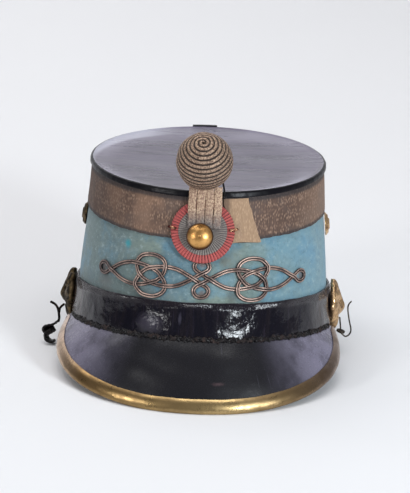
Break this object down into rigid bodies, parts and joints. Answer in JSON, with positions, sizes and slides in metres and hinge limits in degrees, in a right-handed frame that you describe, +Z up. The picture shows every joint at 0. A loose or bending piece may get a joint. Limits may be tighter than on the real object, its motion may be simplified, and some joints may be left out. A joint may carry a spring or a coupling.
{
  "type": "shako hat",
  "caption": "Cloth shako with patent leather top, band and brass-edged peak, metal lace, braid knot, pleated cockade and wound pompon, hollow for the head.",
  "frame": {"origin": "on the surface that the hat stands on, under the middle of its box", "axes": "+Z up, -Y towards the front, where the peak and cockade are, +X to the right of someone who looks at the front"},
  "size_m": [0.2008, 0.2368, 0.1632],
  "materials": {
    "crown_cloth": "matt wool cloth, worn, with stains",
    "top_patent": "worn patent leather, satin to gloss",
    "lace": "tarnished metal lace, matt",
    "pale_lace": "faded metal lace, matt",
    "band_patent": "crazed black patent leather, glossy",
    "brass": "worn brass, satin",
    "dark_brass": "dark tarnished brass, satin",
    "braid": "tarnished metal braid, satin",
    "ribbon": "pleated ribbon, faded, matt",
    "bullion": "tarnished bullion cord, satin",
    "wire": "dark iron wire, satin",
    "worn_leather": "dry black leather, matt, cracked"
  },
  "bodies": {
    "root": {"crown": "crown_cloth", "crown_top": "top_patent", "lace_band": "lace", "lace_patch": "pale_lace", "head_band": "band_patent", "peak": "band_patent", "peak_rim": "brass", "peak_welt": "worn_leather", "knot_braid": "braid", "cockade": "ribbon", "cockade_loop": "pale_lace", "cockade_button": "brass", "cockade_staple_left": "dark_brass", "cockade_staple_right": "dark_brass", "pompon": "bullion", "pompon_stem": "wire", "pompon_tie": "worn_leather", "vent_left": "dark_brass", "boss_left": "dark_brass", "vent_right": "brass", "boss_right": "brass", "hook_left": "wire", "hook_right": "wire", "strap_remnant": "worn_leather", "rear_tab": "band_patent"}
  },
  "joints": []
}
